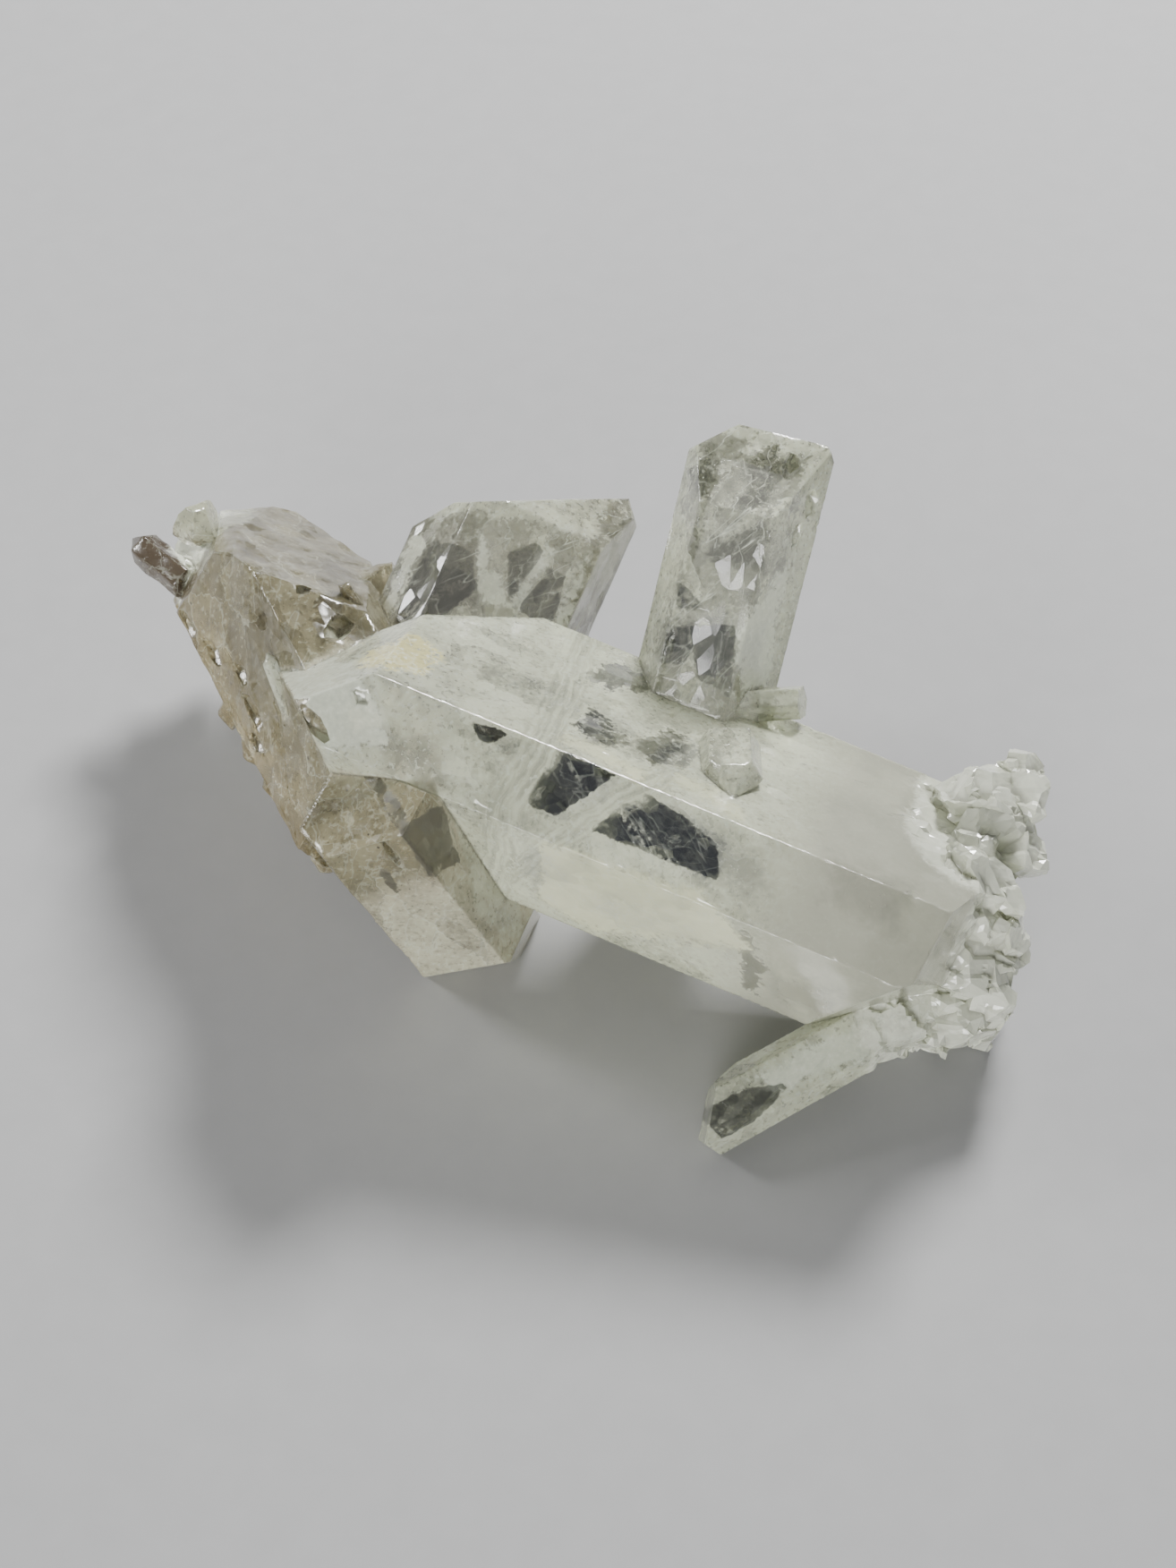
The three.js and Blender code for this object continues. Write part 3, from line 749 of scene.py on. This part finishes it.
def quartz_zones(n, t):
    """Where each kind of zone lies, 0 to 1, and what each crystal is like as a whole."""
    shake = n.less(t.blotch, 0.5)
    tremble = n.less(t.grain, 0.5)
    z = SimpleNamespace(shake=shake, tremble=tremble)
    for kind, (wander, ragged, fade) in ZONE_ENDS.items():
        edge = n.add(n.times(shake, wander), n.times(tremble, ragged))
        setattr(z, kind, n.step(n.add(n.attribute(kind), edge), -fade, fade))
    for name in ("even", "smoke", "hollow", "milk", "drift", "iron", "ochre", "rim", "darkness"):
        setattr(z, name, n.attribute(name))
    z.rock = n.step(n.add(n.attribute("rock"), n.times(t.sparkle, 0.4)), 0.35, 0.75)
    z.brown = n.math("MINIMUM", z.smoke, 1.0)
    z.darkest = n.step(z.smoke, 1.05, 1.6)
    # How much a place varies: the clearer the more, and hardly in the evenly milky foot.
    z.lively = n.without(n.less(1.15, n.times(z.milk, 0.75)), z.even, 0.85)
    z.wrinkle = n.drop(t.grain, 0.34, 0.44)
    return z


def milkiness(n, t, z):
    """How milky each place is: 0 clear and dark, 1 white."""
    stir = n.add(
        n.swing(t.shard_tone, 0.46), n.swing(t.wisp, 0.5), n.swing(t.chip_tone, 0.20),
        n.times(n.less(t.shard_middle, 0.4), 0.30), n.swing(t.slant[2], 0.5),
        n.swing(t.sparkle, 0.7))
    stir = n.less(stir, n.times(z.wrinkle, 0.32))
    milk = n.add(z.milk, n.times(z.drift, 0.14))
    milk = n.math("ADD", milk, n.times(stir, z.lively), clamp=True)
    hazy = n.less(n.add(0.82, n.swing(t.wisp, 0.9)), n.times(z.wrinkle, 0.22))
    milk = n.blend(n.times(z.haze, 0.8), milk, hazy)
    milk = n.without(milk, z.cloud, 0.35)
    milk = n.without(milk, z.pocket, 0.85)
    band = n.add(0.58, n.times(n.step(t.streak, 0.34, 0.68), 0.34))
    milk = n.blend(n.times(z.veil, 0.70), milk, band)
    milk = n.brightest(milk, n.times(z.frost, n.blend(t.sparkle, 0.7, 1.15)))
    # The painted glow and fracture glints make a place milkier.
    return n.brightest(milk, n.times(z.glow, n.blend(t.blotch, 0.7, 1.15)))


def bright_lines_and_painted_glints(n, t, z):
    """Thin bright things: cracks, threads and veil hairs, and painted glints: specks, glitter and
    painted highlights along sharp edges.
    """
    crack = n.times(n.drop(t.shard_edge, 0.0, CRACK_WIDTH), n.step(t.shard_pick, 0.40, 0.55))
    crack = n.times(crack, n.less(0.75, n.times(z.brown, 0.4)))
    thread = n.times(n.ridge(t.slant[0], THREAD_WIDTH), n.step(t.slant[1], 0.44, 0.55))
    thread = n.times(thread, n.less(0.95, n.times(z.brown, 0.7)))
    lines = n.without(n.brightest(crack, thread), z.window, 0.2)
    shut = n.less(1.0, n.times(z.window, 0.85))
    # White specks: painted glints.
    speck = n.times(n.drop(t.chip_middle, 0.04, 0.08), n.step(t.chip_pick, 0.60, 0.64))
    marks = n.times(n.brightest(lines, n.times(speck, n.times(shut, 0.9))), z.lively)
    busy = n.brightest(z.veil, z.frost, z.haze, z.rock)
    # Glitter: painted glints, most where the crystal is busy.
    painted_glitter = n.times(n.step(t.sparkle, 0.58, 0.66), n.blend(busy, 0.35, 0.8))
    painted_glitter = n.times(painted_glitter, n.less(shut, n.times(z.brown, 0.6)))
    painted_glitter = n.without(painted_glitter, z.even, 0.8)
    hairs = n.times(z.veil, n.times(n.ridge(t.hair, HAIR_WIDTH), 0.4))
    # Painted highlights along the sharp edges of the crystals.
    rim = n.times(n.step(z.rim, 0.62, 0.90), n.step(t.blotch, 0.42, 0.66))
    rim = n.without(n.times(rim, n.blend(z.haze, 0.30, 0.80)), z.even, 0.6)
    return n.brightest(marks, painted_glitter, hairs, rim)


def window_opening(n, t, z):
    """How freely one looks into a window, whose dark is painted shade: feathery light fills parts of
    it.
    """
    feather = n.times(n.step(t.slant[1], 0.50, 0.62), n.step(t.grain, 0.40, 0.60))
    feather = n.brightest(feather, n.times(n.step(t.chip_tone, 0.66, 0.90), 0.22))
    opening = n.times(z.window, z.darkness)
    return n.without(n.without(opening, z.veil), feather, 0.75)


def rust_stain(n, z):
    ragged = n.add(z.iron, n.times(z.shake, 1.4), n.times(z.tremble, 1.2))
    return n.times(n.step(ragged, 0.15, 0.45), n.step(z.iron, 0.02, 0.2))


def browned(n, t, z, color, spared):
    """The colour turned smoky, save where something bright or dark shows through."""
    brown = n.mix(t.wisp, BROWN_DARK, BROWN_LIGHT)
    brown = n.mix(n.times(z.ochre, 0.7), brown, OCHRE)
    brown = n.mix(n.step(z.smoke, 0.65, 0.9), BEIGE, brown)
    color = n.mix(n.times(z.brown, spared), color, brown)
    color = n.mix(n.times(z.darkest, 0.9), color, TIP_BROWN)
    speck = n.times(n.drop(t.chip_middle, 0.07, 0.13), n.drop(t.chip_pick, 0.30, 0.34))
    return n.mix(n.times(n.times(speck, z.smoke), 0.8), color, SPECK_DARK)


def quartz_color(n, t, z, milk, light, opening, stain):
    color = n.mix(n.step(milk, 0.0, 0.5), DEEP, GREY)
    color = n.mix(n.step(milk, 0.4, 0.9), color, MILK_WHITE)
    color = n.mix(n.times(z.even, 0.75), color, EVEN_GREY)
    color = n.mix(n.times(z.frost, 0.6), color, FROST_AND_GLINT_WHITE)
    # The painted glow and fracture glints, in cream.
    color = n.mix(n.times(z.glow, 0.8), color, GLOW_CREAM)
    # The windows painted near black: painted shade for the dark seen through them.
    color = n.mix(n.times(opening, 0.95), color, WINDOW_PAINTED_DARK)
    spared = n.without(n.less(0.9, n.times(light, 0.6)), z.haze, 0.6)
    color = browned(n, t, z, color, n.without(spared, opening, 0.8))
    color = n.mix(n.times(stain, 0.9), color, n.mix(t.grain, RUST, RUST_PALE))
    rock_shade = n.add(n.times(t.blotch, 0.6), n.times(t.chip_tone, 0.4))
    color = n.mix(z.rock, color, n.mix(rock_shade, ROCK_GREY, ROCK_WHITE))
    # Painted shade in the hollows, weaker on the rock.
    crevice_shade = n.times(n.step(z.hollow, 0.15, 0.9), n.less(0.55, n.times(z.rock, 0.25)))
    color = n.mix(crevice_shade, color, CREVICE_SHADE)
    # The bright lines, and the painted glints and edge highlights, in white.
    return n.mix(n.times(light, 0.75), color, FROST_AND_GLINT_WHITE)


def quartz_clearness(n, z, milk, stain):
    clear = n.less(1.0, n.times(milk, 0.60))
    for mask, share in ((z.rock, 0.30), (stain, 0.6), (z.darkest, 0.6), (z.brown, 0.2)):
        clear = n.without(clear, mask, share)
    return clear


def quartz_roughness(n, z, milk):
    rough = n.blend(milk, 0.09, 0.20)
    rough = n.blend(z.brown, rough, 0.20)
    return n.blend(z.rock, rough, 0.15)


def quartz_material():
    """Clear where it is not milky. The base is bent by the fractures inside, and the coat is the
    smooth face of the crystal with its growth waves."""
    material = bpy.data.materials.new("quartz")
    n = Nodes(material)
    t = quartz_textures(n)
    z = quartz_zones(n, t)
    light = bright_lines_and_painted_glints(n, t, z)
    opening = window_opening(n, t, z)
    stain = rust_stain(n, z)
    # The bright lines, and the painted glints and edge highlights, make a place milky.
    milk = n.brightest(n.without(milkiness(n, t, z), opening), light)
    inside = n.put("ShaderNodeBump", {
        "Height": t.chip_tilt, "Distance": FLAKE_HEIGHT,
        "Strength": n.without(n.blend(milk, 0.38, 0.14), z.even, 0.6)})
    growth = n.put("ShaderNodeTexNoise", {
        "Vector": n.stretched(t.own, GROWTH_STRETCH), "Scale": 1.0, "Detail": 1.0})
    face = n.put("ShaderNodeBump", {
        "Height": growth.outputs[0], "Distance": GROWTH_HEIGHT, "Strength": 0.2})
    shader = n.put("ShaderNodeBsdfPrincipled", {
        "Base Color": quartz_color(n, t, z, milk, light, opening, stain),
        "Roughness": quartz_roughness(n, z, milk), "IOR": QUARTZ_IOR,
        "Transmission Weight": quartz_clearness(n, z, milk, stain),
        "Normal": inside.outputs[0], "Coat Weight": n.blend(z.brown, 0.5, 0.3),
        "Coat Roughness": FACE_ROUGHNESS, "Coat IOR": QUARTZ_IOR,
        "Coat Normal": face.outputs[0]})
    n.put("ShaderNodeOutputMaterial", {"Surface": shader.outputs[0]})
    return material


# ---- Studio ----------------------------------------------------------------------------------
FLOOR_SIZE = 6.0  # m
FLOOR_GAP = 0.02 * MM
# Name, azimuth and rise in degrees, distance and width in metres, watts.
LIGHTS = [
    ("window_light", 68, 43, 0.6, 0.16, 6.4),
    ("side_light", 160, 28, 0.6, 0.16, 2.0),
    ("front_light", -108, 12, 0.7, 0.40, 6.0),
]
SKY = (0.40, 0.41, 0.43, 1)
SKY_STRENGTH = 0.45
FLOOR_GRAIN = 3 * MM
FLOOR_DARK = (0.36, 0.36, 0.36, 1)
FLOOR_PALE = (0.40, 0.40, 0.40, 1)


def floor_material():
    material = bpy.data.materials.new("floor")
    n = Nodes(material)
    place = n.put("ShaderNodeTexCoord").outputs["Object"]
    shade = n.mix(n.noises(place, FLOOR_GRAIN, 4.0)[0], FLOOR_DARK, FLOOR_PALE)
    shader = n.put("ShaderNodeBsdfPrincipled", {"Base Color": shade, "Roughness": 0.7})
    n.put("ShaderNodeOutputMaterial", {"Surface": shader.outputs[0]})
    return material


def make_floor():
    bpy.ops.mesh.primitive_plane_add(size=FLOOR_SIZE, location=(0, 0, -FLOOR_GAP))
    floor = bpy.context.object
    floor.name = "floor"
    floor.data.materials.append(floor_material())


def soft_light(name, azimuth, rise, distance, size, watts):
    light = bpy.data.lights.new(name, "AREA")
    light.shape = "DISK"
    light.size = size
    light.energy = watts
    lamp = bpy.data.objects.new(name, light)
    lamp.location = direction(azimuth, rise) * distance
    lamp.rotation_euler = (-lamp.location).to_track_quat("-Z", "Y").to_euler()
    bpy.context.scene.collection.objects.link(lamp)


def make_studio():
    make_floor()
    for name, *light in LIGHTS:
        soft_light(name, *light)
    world = bpy.data.worlds.new("studio")
    bpy.context.scene.world = world
    world.use_nodes = True
    background = world.node_tree.nodes["Background"]
    background.inputs["Color"].default_value = SKY
    background.inputs["Strength"].default_value = SKY_STRENGTH


def make_camera():
    camera = bpy.data.cameras.new("camera")
    camera.lens = LENS
    camera.sensor_width = SENSOR
    camera.clip_start = CLIP_START
    seat = bpy.data.objects.new("camera", camera)
    target = placed(VIEW_TARGET)
    seat.location = target + TO_CAMERA * VIEW_DISTANCE * MM
    seat.rotation_euler = (-TO_CAMERA).to_track_quat("-Z", "Y").to_euler()
    bpy.context.scene.collection.objects.link(seat)
    bpy.context.scene.camera = seat


make_camera()
make_studio()
skin = make_skin()
skin.data.materials.append(quartz_material())
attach(skin, BODY)
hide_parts(NODE)
